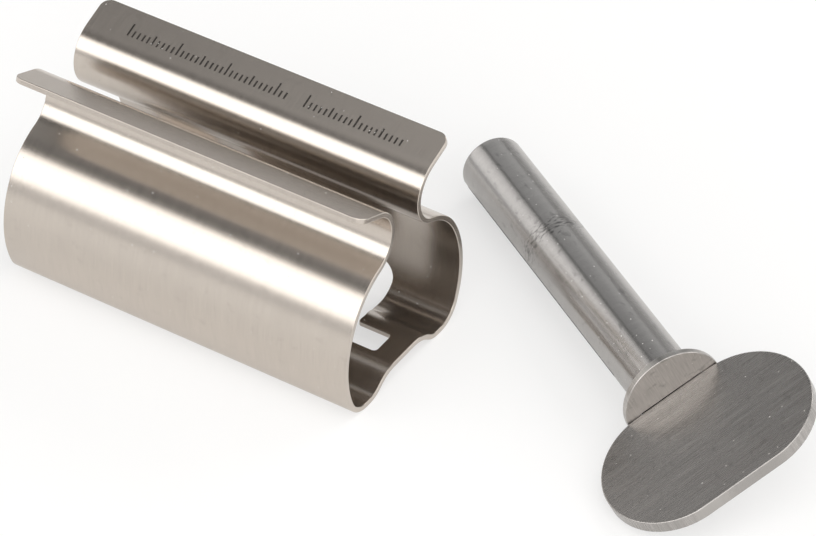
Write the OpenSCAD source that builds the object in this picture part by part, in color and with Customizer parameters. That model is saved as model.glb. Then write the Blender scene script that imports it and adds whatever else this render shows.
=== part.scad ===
// Squeezer for toothpaste tubes, which stands on a table, and its loose winding key.
//
// The squeezer is one sheet of stainless steel, bent to the same profile over its
// whole length: an arch between two feet, two round walls that close in to a narrow
// neck, and two flanges that spread out at the top. The flattened end of a tube
// hangs down through the neck into the round chamber. The key is a slit rod that
// takes the end of the tube, with a collar and a flat handle. It lies on the table
// behind the squeezer, on the tip of its rod, the rim of its collar and its handle.
//
// Millimetres, +Z up, +X along the length of the squeezer, towards the key's handle.
// The origin is the middle of the flat under the front foot.

/* [Squeezer] */
// Length of the bent sheet
body_len = 70; // [50:1:120]
// Thickness of the sheet
sheet_t = 1; // [0.6:0.1:1.5]
// Width over the two side walls
body_w = 36.4; // [32:0.2:60]
// Clear gap between the two sides at the neck
neck_gap = 6.9; // [5:0.1:10]

/* [Bends of the sheet, on its middle line] */
// Flat half of the arch between the feet
arch_half_flat = 3.1; // [1.5:0.1:5]
// Angle at which the arch comes down to each foot
arch_deg = 39.4; // [30:0.1:50]
// Radius of the bend at each foot
foot_r = 5; // [3:0.1:6]
// Width of the flat under each foot
foot_flat = 0.8; // [0.4:0.1:2]
// Rise of the sheet where the foot ends and the side wall starts
foot_end_deg = 67; // [55:0.5:78]
// Radius of the side wall
wall_r = 19.5; // [14:0.5:28]
// Turn of the side wall above its widest line
wall_top_deg = 32; // [24:0.5:40]
// Lean of the sheet over the chamber, where the shoulder ends and the neck starts
neck_lean_deg = 69.3; // [62:0.1:78]
// Radius of the bend at the neck
neck_r = 6.2; // [4:0.1:8]
// Rise of each flange
flange_deg = 21.5; // [5:0.5:40]
// Width of the flat of each flange
flange_w = 6.1; // [4:0.1:14]
// Radius of the four free corners of the flanges
flange_corner_r = 2; // [0.5:0.1:3.5]

/* [Openings in the base] */
// Sheet left between the slot in the base and each end
slot_margin = 4.3; // [2:0.1:12]
// Width of the slot in the base
slot_w = 5; // [2:0.1:6]
// Radius of the slot's corners
slot_corner_r = 0.8; // [0.2:0.1:0.9]
// Sheet left between each window at the back foot and the end beside it
window_margin = 12.4; // [8:0.1:17]
// Length of each window in the back wall
window_w = 7.5; // [4:0.1:9]
// Height of the windows' round tops in the back wall
window_h = 5.9; // [4.8:0.1:9]
// How much further each side of a window lies out where the window meets the slot
window_flare = 1.4; // [0:0.1:2]
// Width of this longer part of each window, beside the slot
throat_w = 2; // [1:0.1:3]
// Share of the rest of the way to the foot over which the window's sides draw in
draw_in_share = 0.75; // [0.3:0.05:1]
// Radius of the sheet's corners where each window meets the slot
throat_r = 0.5; // [0.2:0.1:1]

/* [Key] */
// Diameter of the rod
rod_d = 11.6; // [10.4:0.1:14]
// Length of the rod, from its tip to the collar
rod_len = 70.4; // [40:0.2:110]
// Bevel round the rod's tip
tip_bevel = 0.4; // [0.1:0.1:1]
// Width of the slit that takes the end of the tube
slit_w = 1.6; // [0.8:0.1:2.4]
// Rod left unslit beside the collar
rod_solid_len = 10.4; // [7:0.1:20]
// Diameter of the collar
collar_d = 18; // [16:0.5:24]
// Thickness of the collar
collar_t = 1.2; // [0.8:0.1:3]
// Width of the handle across the rod
handle_w = 38.6; // [34:0.2:60]
// Length of the handle along the rod
handle_len = 24.6; // [18:0.2:32]
// Thickness of the handle
handle_t = 2.5; // [1.5:0.1:3.5]
// Width of the seat on which the handle passes through the collar
seat_w = 12; // [10:0.1:14]
// Width of the tang in the rod
tang_w = 8; // [5:0.1:9]
// Length of the tang in the rod
tang_len = 5; // [2:0.1:6]

/* [Key on the table] */
// Distance of the rod's tip behind the squeezer
key_gap = 30.8; // [24:0.2:80]
// Distance that the rod's tip lies in from the squeezer's end
key_inset = 13.2; // [0:0.2:20]
// Angle between the rod and the squeezer's length
key_turn_deg = 33.3; // [0:0.5:42]

/* [Hidden] */
$fn = 120;

// Running clearance between the handle and what it is seated in
fit_gap = 0.05;
// Height that the handle's edge keeps above the table
rest_gap = 0.05;
// Overrun of every cut
cut = 1;
// Largest turn of one facet of a bend
facet_deg = 5;
// Number of times that the key's roll is corrected before it lies still
settle_count = 8;

// The middle line of the sheet, measured from the squeezer's middle plane
wall_y = (body_w - sheet_t) / 2;
neck_y = (neck_gap + sheet_t) / 2;
foot_y = wall_y - wall_r * (1 - sin(foot_end_deg)) - foot_r * sin(foot_end_deg) - foot_flat / 2;
// The bend beside the arch fills what is left between the arch and the foot
arch_r = (foot_y - foot_flat / 2 - arch_half_flat) / sin(arch_deg) - foot_r;
// The shoulder fills what is left between the wall and the neck
shoulder_r = (wall_y - neck_y - wall_r * (1 - cos(wall_top_deg)) - neck_r * (1 - cos(neck_lean_deg)))
    / (cos(wall_top_deg) - cos(neck_lean_deg));
arch_z = sheet_t / 2 + (arch_r + foot_r) * (1 - cos(arch_deg));

// Half of the profile, from the middle of the arch to the edge of a flange.
// A step is a flat, [length, 0], or a bend, [radius, turn to the left].
half_profile = [
    [arch_half_flat, 0],
    [arch_r, -arch_deg],
    [foot_r, arch_deg],
    [foot_flat, 0],
    [foot_r, foot_end_deg],
    [wall_r, 90 - foot_end_deg + wall_top_deg],
    [shoulder_r, neck_lean_deg - wall_top_deg],
    [neck_r, flange_deg - neck_lean_deg - 90],
    [flange_w, 0]
];

// A point of a step that starts at the origin and heads along +X, at a share of its
// way, set off to the left
function step_point(step, share, offset) =
    step[1] == 0 ? [step[0] * share, offset]
    : let (side = sign(step[1]), r = step[0] - side * offset, swing = abs(step[1]) * share)
        [r * sin(swing), side * (step[0] - r * cos(swing))];

// A point turned round the origin
function turned(point, deg) =
    [point.x * cos(deg) - point.y * sin(deg), point.x * sin(deg) + point.y * cos(deg)];

// The line along a row of steps, set off to the left
function strip_line(steps, offset, spot, at = 0, heading = 0) =
    at == len(steps) ? []
    : let (step = steps[at], count = max(1, ceil(abs(step[1]) / facet_deg)))
        concat(
            [for (i = [1 : count]) spot + turned(step_point(step, i / count, offset), heading)],
            strip_line(steps, offset, spot + turned(step_point(step, 1, 0), heading),
                at + 1, heading + step[1])
        );

function mirrored(line) = [for (point = line) [-point.x, point.y]];
function reversed(line) = [for (i = [len(line) - 1 : -1 : 0]) line[i]];

under_line = strip_line(half_profile, -sheet_t / 2, [0, arch_z]);
upper_line = strip_line(half_profile, sheet_t / 2, [0, arch_z]);
flange_edge = (under_line[len(under_line) - 1] + upper_line[len(upper_line) - 1]) / 2;

// The key's tip and collar both touch the table, which tilts the rod
key_tilt = atan((collar_d - rod_d) / 2 / rod_len);
tip_x = body_len / 2 - key_inset;
tip_y = foot_y + body_w / 2 + key_gap;
tip_z = rod_d / 2 * cos(key_tilt);
// The handle's round ends, and the roll at which one of them touches the table.
// The lowest point of a tilted round end isn't quite its outermost one.
handle_end_r = handle_len / 2;
handle_x = rod_len + collar_t + handle_end_r;
function end_drop(roll) =
    handle_end_r * (norm([sin(key_tilt), sin(roll) * cos(key_tilt)]) - sin(roll) * cos(key_tilt));
function settle(roll, count) =
    count < 1 ? roll
    : settle(asin((tip_z - rest_gap + handle_x * sin(key_tilt) - end_drop(roll)
        - handle_t / 2 * cos(roll) * cos(key_tilt)) / (handle_w / 2 * cos(key_tilt))), count - 1);
key_roll = settle(0, settle_count);

// An upright panel with a half-round top, standing on the X axis
module round_topped(width, height) {
    translate([-width / 2, -cut])
        square([width, height - width / 2 + cut]);
    translate([0, height - width / 2])
        circle(width / 2);
}

// The slot along the arch and the two windows that open it to the back
module base_openings() {
    slot_len = body_len - 2 * slot_margin;
    window_x = body_len / 2 - window_margin - window_w / 2;
    throat_x = window_w / 2 + window_flare;
    throat_y = slot_w / 2 + throat_w;
    drawn_in_y = throat_y + draw_in_share * (foot_y - throat_y);
    translate([0, 0, -cut])
        linear_extrude(arch_z + sheet_t + cut)
            difference() {
                square([slot_len, slot_w], center = true);
                for (end = [-1, 1], side = [-1, 1])
                    translate([end * slot_len / 2, side * slot_w / 2])
                        mirror([end > 0 ? 1 : 0, 0])
                            mirror([0, side > 0 ? 1 : 0])
                                corner(slot_corner_r);
            }
    for (end = [-1, 1])
        translate([end * window_x, 0, 0]) {
            translate([0, 0, -cut])
                linear_extrude(window_h + cut) {
                    translate([-window_w / 2, 0])
                        square([window_w, foot_y]);
                    polygon([
                        [-throat_x, 0], [throat_x, 0], [throat_x, throat_y],
                        [window_w / 2, drawn_in_y], [-window_w / 2, drawn_in_y], [-throat_x, throat_y]
                    ]);
                    for (side = [0, 1])
                        mirror([side, 0])
                            translate([throat_x, slot_w / 2])
                                corner(throat_r);
                }
            translate([0, foot_y, 0])
                rotate([90, 0, 180])
                    linear_extrude(body_w)
                        round_topped(window_w, window_h);
        }
}

// What a rounded corner takes away from a square one at the origin, which opens
// towards +X and +Y
module corner(r) {
    difference() {
        translate([-cut, -cut])
            square(r + cut);
        translate([r, r])
            circle(r);
    }
}

// Places a piece of the key, which is built with its rod along +X from the tip
// and its handle level
module lay_key() {
    translate([tip_x, tip_y, tip_z])
        rotate([0, 0, -key_turn_deg])
            rotate([0, -key_tilt, 0])
                rotate([key_roll, 0, 0])
                    children();
}

// The bent sheet: arch, feet, walls, neck and flanges, with its openings
module squeezer_body() {
    color("silver")
        translate([0, foot_y, 0])
            difference() {
                rotate([90, 0, 90])
                    linear_extrude(body_len, center = true)
                        polygon(concat(under_line, reversed(upper_line),
                            mirrored(upper_line), reversed(mirrored(under_line))));
                base_openings();
                for (end = [0, 1], side = [0, 1])
                    mirror([end, 0, 0])
                        mirror([0, side, 0])
                            translate([body_len / 2, flange_edge.x, flange_edge.y])
                                rotate([flange_deg, 0, 0])
                                    linear_extrude(2 * (sheet_t + cut), center = true)
                                        rotate(180)
                                            corner(flange_corner_r);
            }
}

// The round rod: a bevelled tip, the slit for the tube and a socket for the tang
module key_rod() {
    color("lightgray")
        lay_key()
            difference() {
                rotate([0, 90, 0])
                    rotate_extrude()
                        polygon([
                            [0, 0], [rod_d / 2 - tip_bevel, 0], [rod_d / 2, tip_bevel],
                            [rod_d / 2, rod_len], [0, rod_len]
                        ]);
                translate([-cut, -rod_d, -slit_w / 2])
                    cube([rod_len - rod_solid_len + cut, 2 * rod_d, slit_w]);
                translate([rod_len - tang_len - fit_gap, -tang_w / 2 - fit_gap, -handle_t / 2 - fit_gap])
                    cube([tang_len + fit_gap + cut, tang_w + 2 * fit_gap, handle_t + 2 * fit_gap]);
            }
}

// The collar, which stops the key at the end of the squeezer
module key_collar() {
    color("darkgray")
        lay_key()
            translate([rod_len, 0, 0])
                difference() {
                    rotate([0, 90, 0])
                        cylinder(h = collar_t, d = collar_d);
                    translate([-cut, -seat_w / 2 - fit_gap, -handle_t / 2 - fit_gap])
                        cube([collar_t + 2 * cut, seat_w + 2 * fit_gap, handle_t + 2 * fit_gap]);
                }
}

// The flat handle with its two round ends, its seat in the collar and its tang
module key_handle() {
    color("gray")
        lay_key()
            linear_extrude(handle_t, center = true) {
                translate([handle_x - handle_end_r, handle_end_r - handle_w / 2])
                    square([handle_len, handle_w - handle_len]);
                for (side = [-1, 1])
                    translate([handle_x, side * (handle_w / 2 - handle_end_r)])
                        circle(handle_end_r);
                translate([rod_len, -seat_w / 2])
                    square([collar_t + handle_end_r, seat_w]);
                translate([rod_len - tang_len, -tang_w / 2])
                    square([tang_len + collar_t + handle_end_r, tang_w]);
            }
}

squeezer_body();
key_rod();
key_collar();
key_handle();
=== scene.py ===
"""The looks of a squeezer for toothpaste tubes and of its loose winding key.

The squeezer is a blank of stainless steel, cut flat, rounded at its edges and then
bent to its profile. The key is a turned rod with a collar and a flat handle. The
script works in metres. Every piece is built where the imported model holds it.
"""

import math

import bmesh
import bpy
import mathutils
import numpy as np
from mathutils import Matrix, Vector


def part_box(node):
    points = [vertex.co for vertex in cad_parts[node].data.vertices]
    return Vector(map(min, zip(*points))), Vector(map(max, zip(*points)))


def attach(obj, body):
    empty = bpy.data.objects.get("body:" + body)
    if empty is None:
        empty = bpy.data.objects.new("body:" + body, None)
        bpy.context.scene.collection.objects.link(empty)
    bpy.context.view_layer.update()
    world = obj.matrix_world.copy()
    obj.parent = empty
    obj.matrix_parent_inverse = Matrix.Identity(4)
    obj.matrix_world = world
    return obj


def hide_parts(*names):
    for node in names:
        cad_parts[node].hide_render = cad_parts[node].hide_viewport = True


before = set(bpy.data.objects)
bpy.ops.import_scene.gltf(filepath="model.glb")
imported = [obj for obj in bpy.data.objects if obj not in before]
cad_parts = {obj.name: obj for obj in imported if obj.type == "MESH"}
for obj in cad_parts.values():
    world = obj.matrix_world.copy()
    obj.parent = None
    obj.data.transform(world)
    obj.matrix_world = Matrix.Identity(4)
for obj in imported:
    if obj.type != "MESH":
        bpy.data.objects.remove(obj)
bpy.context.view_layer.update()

mm = 0.001

# Camera: the viewpoint of the photograph.
# It stands in front and to the right, well above the table, with a long lens. It is
# aimed at the table under the middle of the squeezer and moved sideways from there.
photo_w = 816
focal_px = 4500
camera_turn = math.radians(32.193)
camera_rise = math.radians(39.802)
camera_roll = math.radians(0.785)
camera_distance = 774.2 * mm
camera_aside = 30.03 * mm
camera_up = 4.70 * mm

sheet_low, sheet_high = (np.array(corner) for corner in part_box("squeezer_body"))
squeezer_mid = np.array([(sheet_low[0] + sheet_high[0]) / 2, (sheet_low[1] + sheet_high[1]) / 2, 0])

back = np.array([
    math.sin(camera_turn) * math.cos(camera_rise),
    -math.cos(camera_turn) * math.cos(camera_rise),
    math.sin(camera_rise),
])
level = np.array([math.cos(camera_turn), math.sin(camera_turn), 0])
upright = np.cross(back, level)
right = math.cos(camera_roll) * level + math.sin(camera_roll) * upright
up = math.cos(camera_roll) * upright - math.sin(camera_roll) * level
camera_data = bpy.data.cameras.new("camera")
camera_data.sensor_width = 36
camera_data.lens = focal_px * camera_data.sensor_width / photo_w
camera_data.clip_end = 20
camera = bpy.data.objects.new("camera", camera_data)
bpy.context.scene.collection.objects.link(camera)
camera_spot = squeezer_mid + camera_aside * right + camera_up * up + camera_distance * back
camera.matrix_world = mathutils.Matrix((
    (right[0], up[0], back[0], camera_spot[0]),
    (right[1], up[1], back[1], camera_spot[1]),
    (right[2], up[2], back[2], camera_spot[2]),
    (0, 0, 0, 1),
))
bpy.context.scene.camera = camera


# Table: a plain white surface that the squeezer and the key stand on.
# It is a diffuse sheet of paper. A share of what camera, mirror and glass rays see of it
# is given off, which evens the light on it and leaves its shadows.
table_half = 3.0
table_drop = 0.02 * mm
paper_colour = (0.86, 0.855, 0.845, 1)
seen_share = 0.56
mirrored_share = 0.25


def new_material(name):
    """An empty node material: its node tree, and the surface socket of its output."""
    material = bpy.data.materials.new(name)
    material.use_nodes = True
    tree = material.node_tree
    tree.nodes.clear()
    output = tree.nodes.new("ShaderNodeOutputMaterial")
    return material, tree, output.inputs["Surface"]


def table_paper():
    """Diffuse paper, with light given off towards camera, mirror and glass rays."""
    material, tree, surface = new_material("table_paper")
    lit = tree.nodes.new("ShaderNodeBsdfDiffuse")
    lit.inputs["Color"].default_value = paper_colour
    glow = tree.nodes.new("ShaderNodeEmission")
    path = tree.nodes.new("ShaderNodeLightPath")
    mirrored = tree.nodes.new("ShaderNodeMath")
    mirrored.operation = "MAXIMUM"
    tree.links.new(path.outputs["Is Glossy Ray"], mirrored.inputs[0])
    tree.links.new(path.outputs["Is Transmission Ray"], mirrored.inputs[1])
    mirrored_part = tree.nodes.new("ShaderNodeMath")
    mirrored_part.operation = "MULTIPLY"
    mirrored_part.inputs[1].default_value = mirrored_share
    tree.links.new(mirrored.outputs[0], mirrored_part.inputs[0])
    share = tree.nodes.new("ShaderNodeMath")
    share.operation = "MULTIPLY_ADD"
    share.inputs[1].default_value = seen_share
    tree.links.new(path.outputs["Is Camera Ray"], share.inputs[0])
    tree.links.new(mirrored_part.outputs[0], share.inputs[2])
    mix = tree.nodes.new("ShaderNodeMixShader")
    tree.links.new(share.outputs[0], mix.inputs["Fac"])
    tree.links.new(lit.outputs[0], mix.inputs[1])
    tree.links.new(glow.outputs[0], mix.inputs[2])
    tree.links.new(mix.outputs[0], surface)
    return material


def new_object(name, data, material):
    """An object at the origin, linked to the scene, in one material."""
    data.materials.append(material)
    made = bpy.data.objects.new(name, data)
    bpy.context.scene.collection.objects.link(made)
    return made


table_data = bpy.data.meshes.new("table")
table_data.from_pydata(
    [(x * table_half, y * table_half, -table_drop) for x, y in ((-1, -1), (1, -1), (1, 1), (-1, 1))],
    [],
    [(0, 1, 2, 3)],
)
table = new_object("table", table_data, table_paper())


# Studio: large soft lamps in front, at both sides, behind and overhead, in a dim room.
# The lamps show as the bright bands on the bent steel. The room is light near its floor
# and dark higher up, which gives the dark bands between them.
lamp_white = (1.0, 0.99, 0.98)
lamp_warm = (1.0, 0.99, 0.975)
lamp_cool = (0.97, 0.99, 1.0)

# The room's brightness at some heights, each the sine of the angle over the horizon
room_levels = [
    (0.0, 0.75), (0.12, 0.5), (0.3, 0.38), (0.6, 0.34), (0.73, 0.05), (0.83, 0.08), (0.93, 0.48),
]


def soft_panel(name, turn, rise, distance, width, height, radiance, colour):
    """A rectangular lamp that faces the squeezer from turn degrees round and rise up.
    radiance is how bright it looks from the front, where 1 is white."""
    lamp = bpy.data.lights.new(name, "AREA")
    lamp.shape = "RECTANGLE"
    lamp.size = width
    lamp.size_y = height
    lamp.energy = radiance * math.pi * width * height
    lamp.color = colour
    spot = bpy.data.objects.new(name, lamp)
    toward = mathutils.Vector((
        math.cos(math.radians(turn)) * math.cos(math.radians(rise)),
        math.sin(math.radians(turn)) * math.cos(math.radians(rise)),
        math.sin(math.radians(rise)),
    ))
    spot.location = mathutils.Vector(squeezer_mid) + toward * distance
    spot.rotation_euler = toward.to_track_quat("Z", "Y").to_euler()
    bpy.context.scene.collection.objects.link(spot)


soft_panel("front_panel", -102, 31, 2.0, 4.0, 1.3, 2.15, lamp_warm)
soft_panel("right_panel", -34, 28, 2.1, 1.9, 1.5, 1.7, lamp_white)
soft_panel("side_panel", 17, 28, 2.0, 1.5, 1.3, 1.2, lamp_white)
soft_panel("top_panel", -35, 70, 2.0, 1.9, 1.6, 1.2, lamp_white)
soft_panel("left_panel", 180, 25, 2.0, 1.2, 1.1, 1.0, lamp_white)
soft_panel("back_lamp", 68, 40, 2.2, 1.2, 1.2, 2.6, lamp_white)
soft_panel("rear_panel", 130, 33, 2.2, 1.5, 1.2, 0.34, lamp_cool)

room = bpy.data.worlds.new("room")
room.use_nodes = True
room_tree = room.node_tree
room_spot = room_tree.nodes.new("ShaderNodeTexCoord")
room_axes = room_tree.nodes.new("ShaderNodeSeparateXYZ")
room_ramp = room_tree.nodes.new("ShaderNodeValToRGB")
for (place, level), stop in zip(room_levels, [
    *room_ramp.color_ramp.elements, *[room_ramp.color_ramp.elements.new(0.5) for _ in room_levels[2:]],
]):
    stop.position = place
    stop.color = (level, level, level, 1)
room_tree.links.new(room_spot.outputs["Generated"], room_axes.inputs[0])
room_tree.links.new(room_axes.outputs["Z"], room_ramp.inputs["Fac"])
room_tree.links.new(room_ramp.outputs["Color"], room_tree.nodes["Background"].inputs["Color"])
bpy.context.scene.world = room
bpy.context.scene.view_settings.view_transform = "Standard"


# Squeezer: one blank of 1 mm stainless steel sheet with a slot and two windows.
# It is cut flat, deburred all round, and bent over its whole length to one profile:
# arch, feet, walls, shoulders, neck and flanges. The brushing runs round the bends.
sheet_t = 1.0 * mm
sheet_edge_r = 0.16 * mm
neck_gap = 6.9 * mm
arch_half_flat = 3.1 * mm
arch_turn = math.radians(39.4)
foot_r = 5.0 * mm
foot_flat = 0.8 * mm
foot_end = math.radians(67)
wall_r = 19.5 * mm
wall_top = math.radians(32)
neck_lean = math.radians(69.3)
neck_r = 6.2 * mm
flange_rise = math.radians(21.5)
flange_w = 6.1 * mm
flange_corner_r = 2.0 * mm
slot_margin = 4.3 * mm
slot_w = 5.0 * mm
slot_corner_r = 0.8 * mm
window_margin = 12.4 * mm
window_w = 7.5 * mm
window_h = 5.9 * mm
window_flare = 1.4 * mm
throat_w = 2.0 * mm
draw_in_share = 0.75
throat_r = 0.5 * mm
knee_r = 3.0 * mm

sheet_len = sheet_high[0] - sheet_low[0]
wall_y = (sheet_high[1] - sheet_low[1] - sheet_t) / 2
neck_y = (neck_gap + sheet_t) / 2
foot_y = wall_y - wall_r * (1 - math.sin(foot_end)) - foot_r * math.sin(foot_end) - foot_flat / 2
arch_r = (foot_y - foot_flat / 2 - arch_half_flat) / math.sin(arch_turn) - foot_r
shoulder_r = (
    wall_y - neck_y - wall_r * (1 - math.cos(wall_top)) - neck_r * (1 - math.cos(neck_lean))
) / (math.cos(wall_top) - math.cos(neck_lean))
arch_z = sheet_t / 2 + (arch_r + foot_r) * (1 - math.cos(arch_turn))

# Half of the profile from the middle of the arch to a flange's edge, as the length of
# each step along the sheet's middle and its turn to the left
half_profile = np.array([
    (arch_half_flat, 0),
    (arch_r * arch_turn, -arch_turn),
    (foot_r * arch_turn, arch_turn),
    (foot_flat, 0),
    (foot_r * foot_end, foot_end),
    (wall_r * (math.pi / 2 - foot_end + wall_top), math.pi / 2 - foot_end + wall_top),
    (shoulder_r * (neck_lean - wall_top), neck_lean - wall_top),
    (neck_r * (math.pi / 2 + neck_lean - flange_rise), flange_rise - neck_lean - math.pi / 2),
    (flange_w, 0),
])
blank_half = half_profile[:, 0].sum()


def along_step(length, turn, way):
    """Where a step leads after a way along it, if it starts at the origin along +X: the
    chord of an arc, which is sinc(half the turn so far) times the way, at that half turn."""
    half = turn * way / length / 2
    chord = way * np.sinc(half / math.pi)
    return np.stack([chord * np.cos(half), chord * np.sin(half)], -1)


def bend_sheet(flat, height, direction):
    """Carries points and directions of the flat blank into the bent sheet. A point is its
    place along the squeezer, its way round the profile from the middle of the arch, and
    its height over the sheet's middle. The two halves mirror each other."""
    side = np.where(flat[:, 1] < 0, -1.0, 1.0)
    way = np.abs(flat[:, 1])
    starts = np.concatenate([[0], np.cumsum(half_profile[:, 0])])
    headings = np.concatenate([[0], np.cumsum(half_profile[:, 1])])
    spots = [np.array([0, arch_z])]
    for (length, turn), heading in zip(half_profile, headings):
        step = along_step(length, turn, np.array(length))
        cosine, sine = math.cos(heading), math.sin(heading)
        spin = np.array([[cosine, -sine], [sine, cosine]])
        spots.append(spots[-1] + spin @ step)
    step = np.clip(np.searchsorted(starts, way, side="right") - 1, 0, len(half_profile) - 1)
    length, turn = half_profile[step].T
    local = along_step(length, turn, way - starts[step])
    heading = headings[step]
    across = np.array(spots)[step, 0] + local[:, 0] * np.cos(heading) - local[:, 1] * np.sin(heading)
    high = np.array(spots)[step, 1] + local[:, 0] * np.sin(heading) + local[:, 1] * np.cos(heading)
    heading = side * (heading + turn * (way - starts[step]) / length)
    cosine, sine = np.cos(heading), np.sin(heading)
    points = squeezer_mid + np.stack([
        flat[:, 0], side * across - height * sine, high + height * cosine,
    ], -1)
    turned = np.stack([
        direction[:, 0],
        direction[:, 1] * cosine - direction[:, 2] * sine,
        direction[:, 1] * sine + direction[:, 2] * cosine,
    ], -1)
    return points, turned


arc_error = 0.003 * mm
weld_reach = 1e-7


def rounded_loop(corners, radii, spacing):
    """A closed outline, each corner rounded by its own radius, as points no further apart
    than spacing along each of the two axes. A round's points lie so close that a chord
    leaves it by arc_error at most. The plate lies to the left. Returns the points and their
    outward directions."""
    corners, radii = np.array(corners, float), np.array(radii)
    way_in = corners - np.roll(corners, 1, 0)
    way_in /= np.linalg.norm(way_in, axis=1)[:, None]
    way_out = np.roll(way_in, -1, 0)
    side = np.stack([-way_in[:, 1], way_in[:, 0]], -1)
    angles = np.arctan2((side * way_out).sum(1), (way_in * way_out).sum(1))
    reach = radii * np.tan(np.abs(angles) / 2)
    points, outward = [], []
    for i in range(len(corners)):
        turn = np.sign(angles[i])
        pieces = math.ceil(abs(angles[i]) / 2 / math.acos(1 - arc_error / radii[i]))
        swing = np.linspace(0, abs(angles[i]), pieces + 1)[:, None]
        centre = corners[i] - way_in[i] * reach[i] + side[i] * turn * radii[i]
        points.append(centre + radii[i] * (way_in[i] * np.sin(swing) - turn * side[i] * np.cos(swing)))
        outward.append(turn * way_in[i] * np.sin(swing) - side[i] * np.cos(swing))
        after = way_out[i]
        run = np.roll(corners - way_in * reach[:, None], -1, 0)[i] - points[-1][-1]
        steps = np.arange(1, math.ceil(np.abs(run @ after) / (np.abs(after) @ spacing)))[:, None]
        points.append(points[-1][-1] + run * steps / (len(steps) + 1))
        outward.append(np.repeat([[after[1], -after[0]]], len(steps), 0))
    points, outward = np.concatenate(points), np.concatenate(outward)
    apart = np.linalg.norm(points - np.roll(points, 1, 0), axis=1) > weld_reach
    return points[apart], outward[apart]


def inside(points, loops):
    """Whether each point lies in the plate: a line from it to the left crosses the loops
    an odd number of times."""
    crossings = np.zeros(len(points), int)
    for loop in loops:
        start, end = loop, np.roll(loop, -1, 0)
        rising = (start[:, 1] > points[:, 1, None]) != (end[:, 1] > points[:, 1, None])
        rise = np.where(end[:, 1] == start[:, 1], 1, end[:, 1] - start[:, 1])
        hit = start[:, 0] + (points[:, 1, None] - start[:, 1]) / rise * (end[:, 0] - start[:, 0])
        crossings += (rising & (hit < points[:, 0, None])).sum(1)
    return crossings % 2 == 1


rim_rings = 5
rim_clearance = 0.45


def plate_mesh(name, outlines, spacing, thickness, edge_r, carry):
    """A plate of even thickness with rounded edges. Its outlines are loops of points with
    outward directions. Each loop becomes a rim of rings on a round edge, and both faces
    are filled with triangles over a grid of the given spacing. carry takes flat points,
    their heights and directions to where the plate really lies."""
    loops = [loop for loop, outward in outlines]
    rim = np.concatenate(loops)
    rim_out = np.concatenate([outward for loop, outward in outlines])
    swing = np.concatenate([
        np.linspace(math.pi / 2, 0, rim_rings), np.linspace(0, -math.pi / 2, rim_rings)])
    inset = edge_r * (1 - np.cos(swing))
    rise = np.sign(swing) * (thickness / 2 - edge_r) + edge_r * np.sin(swing)
    rise[rim_rings - 1:rim_rings + 1] = thickness / 2 - edge_r, edge_r - thickness / 2
    low, high = rim.min(0), rim.max(0)
    counts = np.ceil((high - low) / spacing).astype(int)
    lines = [np.linspace(start, end, count + 1) for start, end, count in zip(low, high, counts)]
    grid = np.stack(np.meshgrid(*lines), -1).reshape(-1, 2)
    grid = grid[inside(grid, loops)]
    near = np.abs(grid[:, None] - rim[None]) / spacing
    grid = grid[near.max(2).min(1) > rim_clearance]
    flat = np.concatenate([rim - rim_out * edge_r, grid])
    edges, first = [], 0
    for loop in loops:
        edges += [(first + i, first + (i + 1) % len(loop)) for i in range(len(loop))]
        first += len(loop)
    scaled = (flat - low) / spacing
    cut = mathutils.geometry.delaunay_2d_cdt(
        [mathutils.Vector(spot) for spot in scaled], edges, [], 0, weld_reach)
    triangles = np.array(cut[2])
    middles = flat[triangles].mean(1)
    inner_loops = np.split(flat[:len(rim)], np.cumsum([len(loop) for loop in loops])[:-1])
    triangles = triangles[inside(middles, inner_loops)]

    rings = len(swing)
    ring_flat = (rim[None] - rim_out[None] * inset[:, None, None]).reshape(-1, 2)
    ring_high = np.repeat(rise, len(rim))
    ring_lean = np.concatenate([
        (rim_out[None] * np.cos(swing)[:, None, None]).reshape(-1, 2),
        np.repeat(np.sin(swing), len(rim))[:, None],
    ], 1)
    all_flat = np.concatenate([ring_flat, grid, grid])
    all_high = np.concatenate([
        ring_high, np.full(len(grid), thickness / 2), np.full(len(grid), -thickness / 2),
    ])
    face_lean = np.zeros((2 * len(grid), 3))
    face_lean[:, 2] = np.repeat([1, -1], len(grid))
    points, normals = carry(all_flat, all_high, np.concatenate([ring_lean, face_lean]))

    starts = np.cumsum([0] + [len(loop) for loop in loops[:-1]])
    after = np.concatenate([
        np.roll(np.arange(len(loop)), -1) + start for loop, start in zip(loops, starts)])
    here = np.arange(len(rim))
    quads = np.concatenate([
        np.stack([k * len(rim) + here, (k + 1) * len(rim) + here,
                  (k + 1) * len(rim) + after, k * len(rim) + after], -1)
        for k in range(rings - 1)
    ])
    upper = np.where(triangles < len(rim), triangles, triangles - len(rim) + rings * len(rim))
    lower = np.where(triangles < len(rim), triangles + (rings - 1) * len(rim),
                     triangles - len(rim) + rings * len(rim) + len(grid))
    faces = quads.tolist() + upper.tolist() + lower[:, ::-1].tolist()
    data = bpy.data.meshes.new(name)
    data.from_pydata(points, [], faces)
    finish_mesh(data, all_flat, normals)
    return data


def finish_mesh(data, flat, normals=None):
    """Gives a mesh its flat coordinates as a UV map in metres, and smooth shading, along
    its own normals where they are given."""
    corner_vertex = np.zeros(len(data.loops), int)
    data.loops.foreach_get("vertex_index", corner_vertex)
    layer = data.uv_layers.new(name="UVMap")
    layer.data.foreach_set("uv", flat[corner_vertex].astype(np.float32).ravel())
    data.shade_smooth()
    if normals is not None:
        data.normals_split_custom_set_from_vertices(normals.tolist())
    data.validate()


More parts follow.
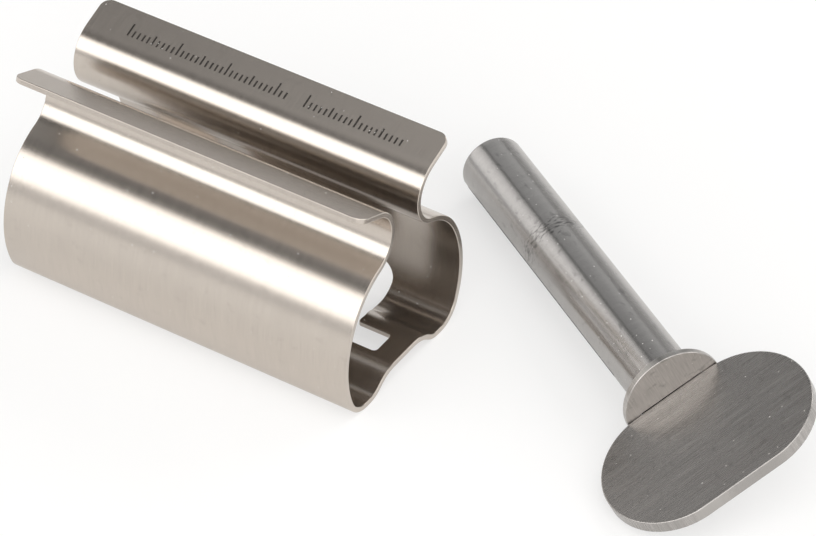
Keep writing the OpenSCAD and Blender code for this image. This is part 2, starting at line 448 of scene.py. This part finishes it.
# The finish that all the steels share. A speck's radius is drawn between the ends of
# speck_reach, so that many places for a speck stay empty.
speck_colour = (0.62, 0.6, 0.57, 1)
speck_reach = (-0.09 * mm, 0.11 * mm)
speck_dullness = 0.85
speck_roughness = 0.3
smudge_size = (2.6 * mm, 1.5 * mm)
score_size = (0.4 * mm, 1.0 * mm)
score_darkness = 0.6
wide_streak = (14, 4)
wide_share = 0.3
streak_height = 0.02 * mm
streak_scatter = 2.4


def brushed_steel(
        name, colour, roughness, grain, streak, depth, relief, stain, speck_gap, scuff=(0, 0)):
    """Satin stainless steel, brushed along the second axis of the UV map. grain is how
    much wider it scatters across the streaks than along them, streak their width and
    length in metres, depth how much they darken it and relief how deep they are cut.
    Wide faint streaks lie under the fine ones, and stain is how dark its few small
    smudges are. Tiny light specks lie on it, about speck_gap metres from each other.
    scuff is the middle and half the width, on the map's first axis, of a worn band with
    dark scores."""
    material, tree, surface = new_material(name)
    steel = tree.nodes.new("ShaderNodeBsdfPrincipled")
    steel.inputs["Anisotropic"].default_value = grain
    tree.links.new(steel.outputs[0], surface)
    tangent = tree.nodes.new("ShaderNodeTangent")
    tangent.direction_type = "UV_MAP"
    tangent.uv_map = "UVMap"
    tree.links.new(tangent.outputs[0], steel.inputs["Tangent"])
    uv = tree.nodes.new("ShaderNodeUVMap")
    uv.uv_map = "UVMap"

    def noise(width, length, detail):
        """Noise of a width across the streaks and a length along them, from about -1 to 1."""
        stretch = tree.nodes.new("ShaderNodeMapping")
        stretch.inputs["Scale"].default_value = (1 / width, 1 / length, 1)
        tree.links.new(uv.outputs[0], stretch.inputs["Vector"])
        texture = tree.nodes.new("ShaderNodeTexNoise")
        texture.noise_dimensions = "2D"
        texture.inputs["Scale"].default_value = 1
        texture.inputs["Detail"].default_value = detail
        tree.links.new(stretch.outputs[0], texture.inputs["Vector"])
        level = tree.nodes.new("ShaderNodeMapRange")
        level.clamp = False
        level.inputs["From Min"].default_value = 0.25
        level.inputs["From Max"].default_value = 0.75
        level.inputs["To Min"].default_value = -1
        level.inputs["To Max"].default_value = 1
        tree.links.new(texture.outputs["Fac"], level.inputs["Value"])
        return level.outputs[0]

    def scaled(value, factor, offset):
        """The value times the factor plus the offset."""
        node = tree.nodes.new("ShaderNodeMath")
        node.operation = "MULTIPLY_ADD"
        for socket, term in zip(node.inputs, (value, factor, offset)):
            if isinstance(term, (int, float)):
                socket.default_value = term
            else:
                tree.links.new(term, socket)
        return node.outputs[0]

    fine = noise(streak[0], streak[1], 4)
    wide = noise(streak[0] * wide_streak[0], streak[1] * wide_streak[1], 2)
    smudge = tree.nodes.new("ShaderNodeMapRange")
    smudge.interpolation_type = "SMOOTHSTEP"
    smudge.inputs["From Min"].default_value = 0.45
    smudge.inputs["From Max"].default_value = 1.0
    tree.links.new(noise(*smudge_size, 6), smudge.inputs["Value"])
    clean = scaled(smudge.outputs[0], -stain, 1.0)
    if scuff[1]:
        axes = tree.nodes.new("ShaderNodeSeparateXYZ")
        tree.links.new(uv.outputs[0], axes.inputs[0])
        band = tree.nodes.new("ShaderNodeMath")
        band.operation = "ABSOLUTE"
        tree.links.new(scaled(axes.outputs["X"], 1 / scuff[1], -scuff[0] / scuff[1]), band.inputs[0])
        scores = tree.nodes.new("ShaderNodeMapRange")
        scores.interpolation_type = "SMOOTHSTEP"
        scores.inputs["From Min"].default_value = 0.5
        scores.inputs["From Max"].default_value = 1.5
        patchy = scaled(noise(*score_size, 6), 0.9, 0.9)
        tree.links.new(scaled(band.outputs[0], -1.0, patchy), scores.inputs["Value"])
        clean = scaled(clean, scaled(scores.outputs[0], -score_darkness, 1.0), 0.0)
    streaked = scaled(wide, depth * wide_share, scaled(fine, depth, 1 - depth))
    shade = scaled(clean, streaked, 0.0)
    cells = tree.nodes.new("ShaderNodeTexVoronoi")
    cells.voronoi_dimensions = "2D"
    cells.inputs["Scale"].default_value = 1 / speck_gap
    tree.links.new(uv.outputs[0], cells.inputs["Vector"])
    draw = tree.nodes.new("ShaderNodeSeparateColor")
    tree.links.new(cells.outputs["Color"], draw.inputs[0])
    least, most = speck_reach
    reach = scaled(draw.outputs[0], (most - least) / speck_gap, least / speck_gap)
    speck = tree.nodes.new("ShaderNodeMath")
    speck.operation = "LESS_THAN"
    tree.links.new(cells.outputs["Distance"], speck.inputs[0])
    tree.links.new(reach, speck.inputs[1])
    tint = tree.nodes.new("ShaderNodeMix")
    tint.data_type = "RGBA"
    tint.blend_type = "MULTIPLY"
    tint.inputs["Factor"].default_value = 1
    tint.inputs["A"].default_value = (*colour, 1)
    tree.links.new(shade, tint.inputs["B"])
    dusty = tree.nodes.new("ShaderNodeMix")
    dusty.data_type = "RGBA"
    dusty.inputs["B"].default_value = speck_colour
    tree.links.new(speck.outputs[0], dusty.inputs["Factor"])
    tree.links.new(tint.outputs["Result"], dusty.inputs["A"])
    tree.links.new(dusty.outputs["Result"], steel.inputs["Base Color"])
    tree.links.new(scaled(speck.outputs[0], -speck_dullness, 1.0), steel.inputs["Metallic"])
    brushed = scaled(fine, roughness * relief * streak_scatter, roughness)
    rough = scaled(speck.outputs[0], speck_roughness, brushed)
    tree.links.new(rough, steel.inputs["Roughness"])
    bump = tree.nodes.new("ShaderNodeBump")
    bump.inputs["Strength"].default_value = relief
    bump.inputs["Distance"].default_value = streak_height
    tree.links.new(fine, bump.inputs["Height"])
    tree.links.new(bump.outputs[0], steel.inputs["Normal"])
    return material


line_points = 400


def middle_line(first_way, last_way):
    """Evenly spaced ways round the profile, and where the sheet's middle lies at each."""
    ways = np.linspace(first_way, last_way, line_points)
    still = np.zeros((len(ways), 3))
    spots, _ = bend_sheet(np.stack([still[:, 0], ways], -1), still[:, 0], still)
    return ways, spots


# The ways round the profile at which the sheet's middle reaches the windows' tops, and
# the two distances from the middle plane between which the windows draw in
foot_way, wall_way = half_profile[:4, 0].sum(), half_profile[:6, 0].sum()
wall_ways, wall_spots = middle_line(foot_way, wall_way)
window_top = np.interp(window_h, wall_spots[:, 2], wall_ways)
foot_ways, foot_spots = middle_line(0, foot_way)
throat_y = slot_w / 2 + throat_w
drawn_in_y = throat_y + draw_in_share * (foot_y - throat_y)
throat_way, drawn_in_way = np.interp(
    [throat_y, drawn_in_y], foot_spots[:, 1] - squeezer_mid[1], foot_ways)

sheet_x = sheet_len / 2
slot_x = sheet_x - slot_margin
window_out = sheet_x - window_margin
window_in = window_out - window_w
throat_out, throat_in = window_out + window_flare, window_in - window_flare
blank_spacing = np.array([2.2 * mm, 0.4 * mm])
blank_outline = rounded_loop(
    [(-sheet_x, -blank_half), (sheet_x, -blank_half), (sheet_x, blank_half), (-sheet_x, blank_half)],
    [flange_corner_r] * 4,
    blank_spacing,
)
right_window = [
    (throat_in, slot_w / 2), (throat_in, throat_way), (window_in, drawn_in_way),
    (window_in, window_top), (window_out, window_top),
    (window_out, drawn_in_way), (throat_out, throat_way), (throat_out, slot_w / 2),
]
window_radii = [throat_r, knee_r, knee_r, window_w / 2, window_w / 2, knee_r, knee_r, throat_r]
base_outline = rounded_loop(
    [(-slot_x, -slot_w / 2), (-slot_x, slot_w / 2)] + [(-x, y) for x, y in right_window[::-1]]
    + right_window + [(slot_x, slot_w / 2), (slot_x, -slot_w / 2)],
    [slot_corner_r] * 2 + window_radii * 2 + [slot_corner_r] * 2,
    blank_spacing,
)
sheet_steel = brushed_steel(
    "sheet_steel", colour=(0.585, 0.53, 0.477), roughness=0.25, grain=0.4,
    streak=(0.13 * mm, 5 * mm), depth=0.042, relief=0.03, stain=0.05, speck_gap=4.2 * mm)
sheet_data = plate_mesh(
    "bent_sheet", [blank_outline, base_outline], blank_spacing, sheet_t, sheet_edge_r, bend_sheet)
bent_sheet = new_object("bent_sheet", sheet_data, sheet_steel)
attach(bent_sheet, "squeezer")
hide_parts("squeezer_body")


# Graduation: fine marks on the back flange, etched dark into its upper face.
# There are two rows, one mark a millimetre. Every fifth mark is longer and every tenth
# the longest. They stand in the steel and end a hair above it.
mark_w = 0.34 * mm
mark_start = blank_half - 5.3 * mm
mark_lengths = np.array([1.3, 1.9, 2.5]) * mm
mark_rise = 0.01 * mm
mark_root = 0.05 * mm
sharp_angle = math.radians(30)
row_starts, row_counts = (-27, 9), (33, 20)
mark_x = np.concatenate([start + np.arange(count) for start, count in zip(row_starts, row_counts)]) * mm
count_on = np.concatenate([np.arange(count) for count in row_counts])
mark_length = mark_lengths[(count_on % 5 == 0).astype(int) + (count_on % 10 == 0)]

# Each mark is a box: its eight corners, and its six faces with their corners in order
box_corners = np.array([(x, y, z) for x in (-0.5, 0.5) for y in (0, 1) for z in (0, 1)])
box_faces = np.array([
    (0, 1, 3, 2), (4, 6, 7, 5), (0, 4, 5, 1), (2, 3, 7, 6), (0, 2, 6, 4), (1, 5, 7, 3),
])
mark_flat = np.stack([
    mark_x[:, None] + box_corners[:, 0] * mark_w,
    mark_start + mark_length[:, None] * box_corners[:, 1],
], -1).reshape(-1, 2)
mark_high = np.tile(sheet_t / 2 - mark_root + box_corners[:, 2] * (mark_root + mark_rise), len(mark_x))
mark_points, _ = bend_sheet(mark_flat, mark_high, np.zeros((len(mark_high), 3)))
mark_data = bpy.data.meshes.new("graduation")
mark_data.from_pydata(
    mark_points, [], (8 * np.arange(len(mark_x))[:, None, None] + box_faces).reshape(-1, 4))
finish_mesh(mark_data, mark_flat)
mark_data.set_sharp_from_angle(angle=sharp_angle)
etched = brushed_steel(
    "etched_steel", colour=(0.11, 0.10, 0.09), roughness=0.5, grain=0.0,
    streak=(0.1 * mm, 0.3 * mm), depth=0.3, relief=0.1, stain=0.0, speck_gap=1.1 * mm)
graduation = new_object("graduation", mark_data, etched)
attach(graduation, "squeezer")


# Key: its place on the table, which its pieces share.
# It lies behind the squeezer on the tip of its rod and the rim of its collar, and is
# rolled until the handle's edge meets the table.
rod_d = 11.6 * mm
rod_len = 70.4 * mm
collar_d = 18.0 * mm
collar_t = 1.2 * mm
handle_w = 38.6 * mm
handle_len = 24.6 * mm
handle_t = 2.5 * mm
key_gap = 30.8 * mm
key_inset = 13.2 * mm
key_turn = math.radians(33.3)
key_roll = math.radians(25.8311)

key_tilt = math.atan((collar_d - rod_d) / 2 / rod_len)
key_place = (
    mathutils.Matrix.Translation((
        sheet_high[0] - key_inset, sheet_high[1] + key_gap, rod_d / 2 * math.cos(key_tilt)))
    @ mathutils.Matrix.Rotation(-key_turn, 4, "Z")
    @ mathutils.Matrix.Rotation(-key_tilt, 4, "Y")
    @ mathutils.Matrix.Rotation(key_roll, 4, "X")
)
key_turned = np.array(key_place.to_3x3())
key_spot = np.array(key_place.translation)


# Key rod: a turned steel rod with a fine round on its tip and a slit for the tube.
# The slit runs through it in the plane of the handle and stops short of the collar.
# The tool has left fine rings round it.
tip_round = 0.4 * mm
slit_w = 1.6 * mm
rod_solid_len = 10.4 * mm
tip_points, straight_points, solid_points = 6, 60, 12
arc_points, slit_points = 73, 5


def weld_patches(name, patches, uv_patches):
    """One closed mesh from grids of points that meet at their borders, with the matching
    grids of UV points. Points that coincide become one."""
    points, faces, flats, first = [], [], [], 0
    for patch, uv_patch in zip(patches, uv_patches):
        rows, columns = patch.shape[:2]
        index = first + np.arange(rows * columns).reshape(rows, columns)
        corners = [index[:-1, :-1], index[1:, :-1], index[1:, 1:], index[:-1, 1:]]
        faces.append(np.stack(corners, -1).reshape(-1, 4))
        points.append(patch.reshape(-1, 3))
        flats.append(uv_patch.reshape(-1, 2))
        first += rows * columns
    data = bpy.data.meshes.new(name)
    data.from_pydata(np.concatenate(points), [], np.concatenate(faces))
    finish_mesh(data, np.concatenate(flats))
    shape = bmesh.new()
    shape.from_mesh(data)
    bmesh.ops.remove_doubles(shape, verts=shape.verts, dist=weld_reach)
    bmesh.ops.dissolve_degenerate(shape, edges=shape.edges, dist=weld_reach)
    bmesh.ops.recalc_face_normals(shape, faces=shape.faces)
    shape.to_mesh(data)
    shape.free()
    data.set_sharp_from_angle(angle=sharp_angle)
    return data


# The rod's long profile: places along it and radii, round over the tip's edge
tip_swing = np.linspace(0, math.pi / 2, tip_points)
slit_end = rod_len - rod_solid_len
straight_x = np.linspace(tip_round, slit_end, straight_points)[1:]
solid_x = np.linspace(slit_end, rod_len, solid_points)
rod_x = np.concatenate([tip_round * (1 - np.cos(tip_swing)), straight_x])
rod_r = np.concatenate([
    rod_d / 2 - tip_round * (1 - np.sin(tip_swing)), np.full(len(straight_x), rod_d / 2)])


def half_arc(radius, height, shares):
    """Points (y, z) on the part of a circle over a height, at shares of the way round."""
    start = np.arcsin(height / radius)
    swing = start + (math.pi - 2 * start) * shares
    return np.stack([radius * np.cos(swing), radius * np.sin(swing)], -1)


arc_shares = np.linspace(0, 1, arc_points)
slit_z = np.linspace(-slit_w / 2, slit_w / 2, slit_points)
long_x = np.concatenate([rod_x, solid_x[1:]])
long_r = np.concatenate([rod_r, np.full(len(solid_x) - 1, rod_d / 2)])
arc = half_arc(long_r[:, None], slit_w / 2, arc_shares[None])
arc_x = np.broadcast_to(long_x[:, None, None], arc.shape[:2] + (1,))
side_patch = np.concatenate([arc_x, arc], -1)
down = np.array([1, 1, -1])
wall_patch = side_patch[:len(rod_x)] * [1, 1, 0] + [0, 0, slit_w / 2]


def between(first, last, shares):
    """A grid that leads from one row of points to another by shares of the way."""
    return first + (last - first) * shares[:, None, None]


fill_shares = np.linspace(0, 1, slit_points)
tip_patch = between(side_patch[0], wall_patch[0], fill_shares)
end_patch = between(side_patch[-1], side_patch[-1] * [1, 1, 0] + [0, 0, slit_w / 2], fill_shares)
bottom_row = side_patch[len(rod_x) - 1]
bottom_y = np.repeat(bottom_row[None, :, 1], len(slit_z), 0)
bottom_y[:, 0] = np.sqrt((rod_d / 2) ** 2 - slit_z ** 2)
bottom_y[:, -1] = -bottom_y[:, 0]
bottom_patch = np.stack([
    np.full(bottom_y.shape, slit_end), bottom_y, np.repeat(slit_z[:, None], bottom_y.shape[1], 1)], -1)
mouth_patch = np.stack([
    np.repeat(solid_x[:, None], len(slit_z), 1),
    np.repeat(bottom_y[None, :, 0], len(solid_x), 0),
    np.repeat(slit_z[None], len(solid_x), 0),
], -1)
rod_patches = [
    side_patch, side_patch * down, wall_patch, wall_patch * down,
    tip_patch, tip_patch * down, end_patch, end_patch * down, bottom_patch,
    bottom_patch * [0, 1, 1] + [rod_len, 0, 0], mouth_patch, mouth_patch * [1, -1, 1],
]

# Unrolled, a point's first coordinate is its place along the rod and its second its way
# round it. Over the end faces the first one goes on inwards.
rod_uvs = [
    np.stack([
        patch[..., 0] - np.hypot(patch[..., 1], patch[..., 2]),
        np.arctan2(patch[..., 2], patch[..., 1]) * rod_d / 2,
    ], -1)
    for patch in rod_patches
]
placed_patches = [key_spot + patch @ key_turned.T for patch in rod_patches]
rod_data = weld_patches("turned_rod", placed_patches, rod_uvs)
rod_steel = brushed_steel(
    "rod_steel", colour=(0.465, 0.449, 0.435), roughness=0.23, grain=0.72,
    streak=(0.12 * mm, 2.8 * mm), depth=0.07, relief=0.06, stain=0.2, speck_gap=2.2 * mm,
    scuff=(21.5 * mm, 4.0 * mm))
turned_rod = new_object("turned_rod", rod_data, rod_steel)
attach(turned_rod, "key")
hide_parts("key_rod")


# Key collar: a round steel disc, brazed on to the end of the rod.
# The handle goes through a slot in it and leaves a hairline round itself.
collar_edge_r = 0.14 * mm
collar_gap = 0.1 * mm
seat_w = 12.0 * mm
seat_corner_r = 0.2 * mm


def ring_outline(radius, count):
    """A circle round the origin as points and outward directions."""
    swing = np.linspace(0, 2 * math.pi, count, endpoint=False)
    outward = np.stack([np.cos(swing), np.sin(swing)], -1)
    return radius * outward, outward


def lay_disc(flat, height, direction):
    """Stands a flat piece upright in the collar's place: its axes lead across the key
    and up, and its height leads along the rod."""
    points = np.stack([rod_len + collar_t / 2 + height, flat[:, 0], flat[:, 1]], -1)
    return key_spot + points @ key_turned.T, direction[:, [2, 0, 1]] @ key_turned.T


seat_y, seat_z = seat_w / 2 + collar_gap, handle_t / 2 + collar_gap
disc_spacing = np.array([1.0 * mm, 1.0 * mm])
seat_hole = rounded_loop(
    [(-seat_y, -seat_z), (-seat_y, seat_z), (seat_y, seat_z), (seat_y, -seat_z)],
    [seat_corner_r] * 4, disc_spacing)
collar_data = plate_mesh(
    "collar_disc", [ring_outline(collar_d / 2, 128), seat_hole], disc_spacing,
    collar_t, collar_edge_r, lay_disc)
collar_steel = brushed_steel(
    "collar_steel", colour=(0.52, 0.497, 0.475), roughness=0.33, grain=0.5,
    streak=(0.2 * mm, 3 * mm), depth=0.1, relief=0.06, stain=0.25, speck_gap=1.8 * mm)
collar_disc = new_object("collar_disc", collar_data, collar_steel)
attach(collar_disc, "key")
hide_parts("key_collar")


# Key handle: a flat steel plate with two round ends, cut out and deburred.
# A narrower seat passes through the collar to the end of the rod; the tang that holds it
# in the rod is not built. The plate is brushed across the rod.
handle_edge_r = 0.22 * mm
notch_r = 0.1 * mm
seat_end_r = 0.3 * mm
plate_spacing = np.array([1.2 * mm, 1.2 * mm])


def lay_plate(flat, height, direction):
    """Lays a flat piece in the handle's plane: its axes lead along the rod and across."""
    points = np.concatenate([flat, height[:, None]], -1)
    return key_spot + points @ key_turned.T, direction @ key_turned.T


near_x = rod_len + collar_t
far_x = near_x + handle_len
plate_outline = rounded_loop(
    [
        (near_x, -handle_w / 2), (far_x, -handle_w / 2), (far_x, handle_w / 2), (near_x, handle_w / 2),
        (near_x, seat_w / 2), (rod_len, seat_w / 2), (rod_len, -seat_w / 2), (near_x, -seat_w / 2),
    ],
    [handle_len / 2] * 4 + [notch_r, seat_end_r, seat_end_r, notch_r],
    plate_spacing,
)
handle_data = plate_mesh(
    "handle_plate", [plate_outline], plate_spacing, handle_t, handle_edge_r, lay_plate)
handle_steel = brushed_steel(
    "handle_steel", colour=(0.455, 0.435, 0.417), roughness=0.27, grain=0.6,
    streak=(0.24 * mm, 10 * mm), depth=0.12, relief=0.05, stain=0.15, speck_gap=3.4 * mm)
handle_plate = new_object("handle_plate", handle_data, handle_steel)
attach(handle_plate, "key")
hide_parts("key_handle")
